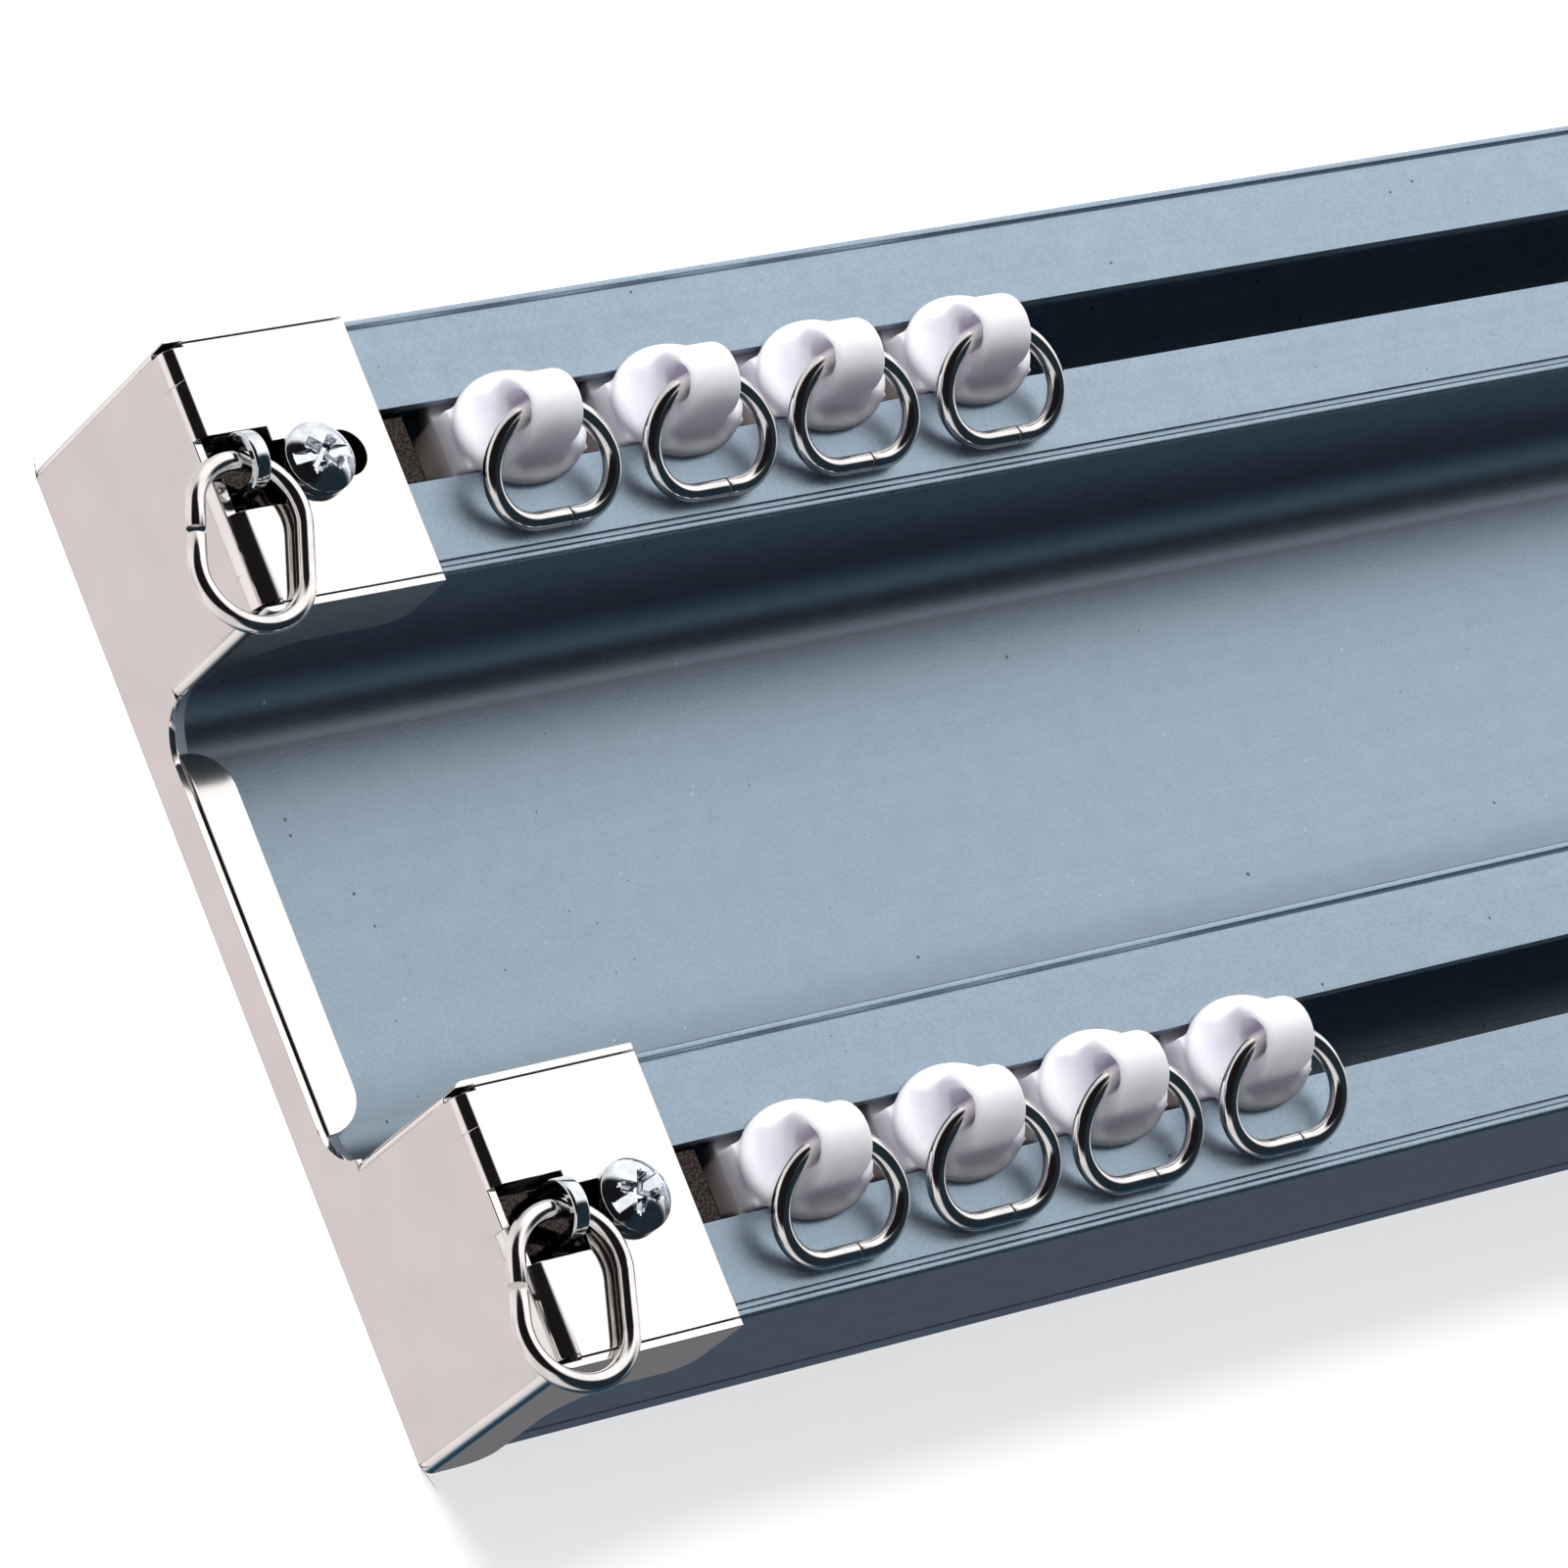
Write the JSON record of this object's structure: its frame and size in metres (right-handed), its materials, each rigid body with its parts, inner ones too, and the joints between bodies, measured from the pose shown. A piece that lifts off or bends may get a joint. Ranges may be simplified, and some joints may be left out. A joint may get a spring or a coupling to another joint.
{
  "type": "double curtain track",
  "caption": "Double curtain track: slotted aluminium channels joined by a web, with bent steel end caps and nylon gliders that carry wire rings.",
  "frame": {"origin": "on the ceiling face, halfway along the track and halfway across it", "axes": "+X along the track, +Y across it towards the window-side channel, +Z out of the slots and away from the ceiling"},
  "size_m": [0.3134, 0.1169, 0.0366],
  "materials": {
    "anodised_aluminium": "matt blue-grey anodised extrusion",
    "polished_nickel": "polished nickel-plated steel sheet",
    "zinc_plated_steel": "bright zinc-plated steel",
    "nickel_wire": "polished nickel-plated wire",
    "nylon": "satin translucent white nylon"
  },
  "bodies": {
    "track": {"track_profile": "anodised_aluminium", "end_cap_left": "polished_nickel", "window_clamp_plate_left": "zinc_plated_steel", "window_cap_screw_left": "zinc_plated_steel", "room_clamp_plate_left": "zinc_plated_steel", "room_cap_screw_left": "zinc_plated_steel", "end_cap_right": "polished_nickel", "window_clamp_plate_right": "zinc_plated_steel", "window_cap_screw_right": "zinc_plated_steel", "room_clamp_plate_right": "zinc_plated_steel", "room_cap_screw_right": "zinc_plated_steel"},
    "window_end_ring_left": {"window_end_ring_left": "nickel_wire"},
    "room_end_ring_left": {"room_end_ring_left": "nickel_wire"},
    "window_end_ring_right": {"window_end_ring_right": "nickel_wire"},
    "room_end_ring_right": {"room_end_ring_right": "nickel_wire"},
    "window_glider_1": {"window_glider_1": "nylon"},
    "window_glider_ring_1": {"window_glider_ring_1": "nickel_wire"},
    "window_glider_2": {"window_glider_2": "nylon"},
    "window_glider_ring_2": {"window_glider_ring_2": "nickel_wire"},
    "window_glider_3": {"window_glider_3": "nylon"},
    "window_glider_ring_3": {"window_glider_ring_3": "nickel_wire"},
    "window_glider_4": {"window_glider_4": "nylon"},
    "window_glider_ring_4": {"window_glider_ring_4": "nickel_wire"},
    "room_glider_1": {"room_glider_1": "nylon"},
    "room_glider_ring_1": {"room_glider_ring_1": "nickel_wire"},
    "room_glider_2": {"room_glider_2": "nylon"},
    "room_glider_ring_2": {"room_glider_ring_2": "nickel_wire"},
    "room_glider_3": {"room_glider_3": "nylon"},
    "room_glider_ring_3": {"room_glider_ring_3": "nickel_wire"},
    "room_glider_4": {"room_glider_4": "nylon"},
    "room_glider_ring_4": {"room_glider_ring_4": "nickel_wire"}
  },
  "joints": [
    {"name": "window_end_ring_left_flip", "type": "hinge", "parent": "track", "child": "window_end_ring_left", "pos_m": [-0.1462, 0.0404, 0.03005], "axis": [-1, 0, 0], "range_deg": [0, 178]},
    {"name": "room_end_ring_left_flip", "type": "hinge", "parent": "track", "child": "room_end_ring_left", "pos_m": [-0.1437, -0.0399, 0.03005], "axis": [-1, 0, 0], "range_deg": [0, 178]},
    {"name": "window_end_ring_right_flip", "type": "hinge", "parent": "track", "child": "window_end_ring_right", "pos_m": [0.1449, 0.0404, 0.03005], "axis": [1, 0, 0], "range_deg": [0, 178]},
    {"name": "room_end_ring_right_flip", "type": "hinge", "parent": "track", "child": "room_end_ring_right", "pos_m": [0.1455, -0.0403, 0.03005], "axis": [1, 0, 0], "range_deg": [0, 178]},
    {"name": "window_glider_1_slide", "type": "slide", "parent": "track", "child": "window_glider_1", "axis": [1, 0, 0], "range_m": [0, 0.042]},
    {"name": "window_glider_ring_1_swing", "type": "hinge", "parent": "window_glider_1", "child": "window_glider_ring_1", "pos_m": [-0.1131, 0.0396, 0.034], "axis": [-1, 0, 0], "range_deg": [0, 228]},
    {"name": "window_glider_2_slide", "type": "slide", "parent": "track", "child": "window_glider_2", "axis": [1, 0, 0], "range_m": [0, 0.084]},
    {"name": "window_glider_ring_2_swing", "type": "hinge", "parent": "window_glider_2", "child": "window_glider_ring_2", "pos_m": [-0.0934, 0.0396, 0.034], "axis": [-1, 0, 0], "range_deg": [0, 228]},
    {"name": "window_glider_3_slide", "type": "slide", "parent": "track", "child": "window_glider_3", "axis": [1, 0, 0], "range_m": [0, 0.126]},
    {"name": "window_glider_ring_3_swing", "type": "hinge", "parent": "window_glider_3", "child": "window_glider_ring_3", "pos_m": [-0.0749, 0.0396, 0.034], "axis": [-1, 0, 0], "range_deg": [0, 228]},
    {"name": "window_glider_4_slide", "type": "slide", "parent": "track", "child": "window_glider_4", "axis": [1, 0, 0], "range_m": [0, 0.168]},
    {"name": "window_glider_ring_4_swing", "type": "hinge", "parent": "window_glider_4", "child": "window_glider_ring_4", "pos_m": [-0.0556, 0.0396, 0.034], "axis": [-1, 0, 0], "range_deg": [0, 228]},
    {"name": "room_glider_1_slide", "type": "slide", "parent": "track", "child": "room_glider_1", "axis": [1, 0, 0], "range_m": [0, 0.042]},
    {"name": "room_glider_ring_1_swing", "type": "hinge", "parent": "room_glider_1", "child": "room_glider_ring_1", "pos_m": [-0.1141, -0.0404, 0.034], "axis": [-1, 0, 0], "range_deg": [0, 228]},
    {"name": "room_glider_2_slide", "type": "slide", "parent": "track", "child": "room_glider_2", "axis": [1, 0, 0], "range_m": [0, 0.084]},
    {"name": "room_glider_ring_2_swing", "type": "hinge", "parent": "room_glider_2", "child": "room_glider_ring_2", "pos_m": [-0.0949, -0.0404, 0.034], "axis": [-1, 0, 0], "range_deg": [0, 228]},
    {"name": "room_glider_3_slide", "type": "slide", "parent": "track", "child": "room_glider_3", "axis": [1, 0, 0], "range_m": [0, 0.126]},
    {"name": "room_glider_ring_3_swing", "type": "hinge", "parent": "room_glider_3", "child": "room_glider_ring_3", "pos_m": [-0.0764, -0.0404, 0.034], "axis": [-1, 0, 0], "range_deg": [0, 228]},
    {"name": "room_glider_4_slide", "type": "slide", "parent": "track", "child": "room_glider_4", "axis": [1, 0, 0], "range_m": [0, 0.168]},
    {"name": "room_glider_ring_4_swing", "type": "hinge", "parent": "room_glider_4", "child": "room_glider_ring_4", "pos_m": [-0.0572, -0.0404, 0.034], "axis": [-1, 0, 0], "range_deg": [0, 228]}
  ],
  "couplings": [
    {"joint": "window_glider_1_slide", "follows": "window_glider_4_slide", "ratio": 0.25},
    {"joint": "window_glider_2_slide", "follows": "window_glider_4_slide", "ratio": 0.5},
    {"joint": "window_glider_3_slide", "follows": "window_glider_4_slide", "ratio": 0.75},
    {"joint": "room_glider_1_slide", "follows": "room_glider_4_slide", "ratio": 0.25},
    {"joint": "room_glider_2_slide", "follows": "room_glider_4_slide", "ratio": 0.5},
    {"joint": "room_glider_3_slide", "follows": "room_glider_4_slide", "ratio": 0.75}
  ]
}
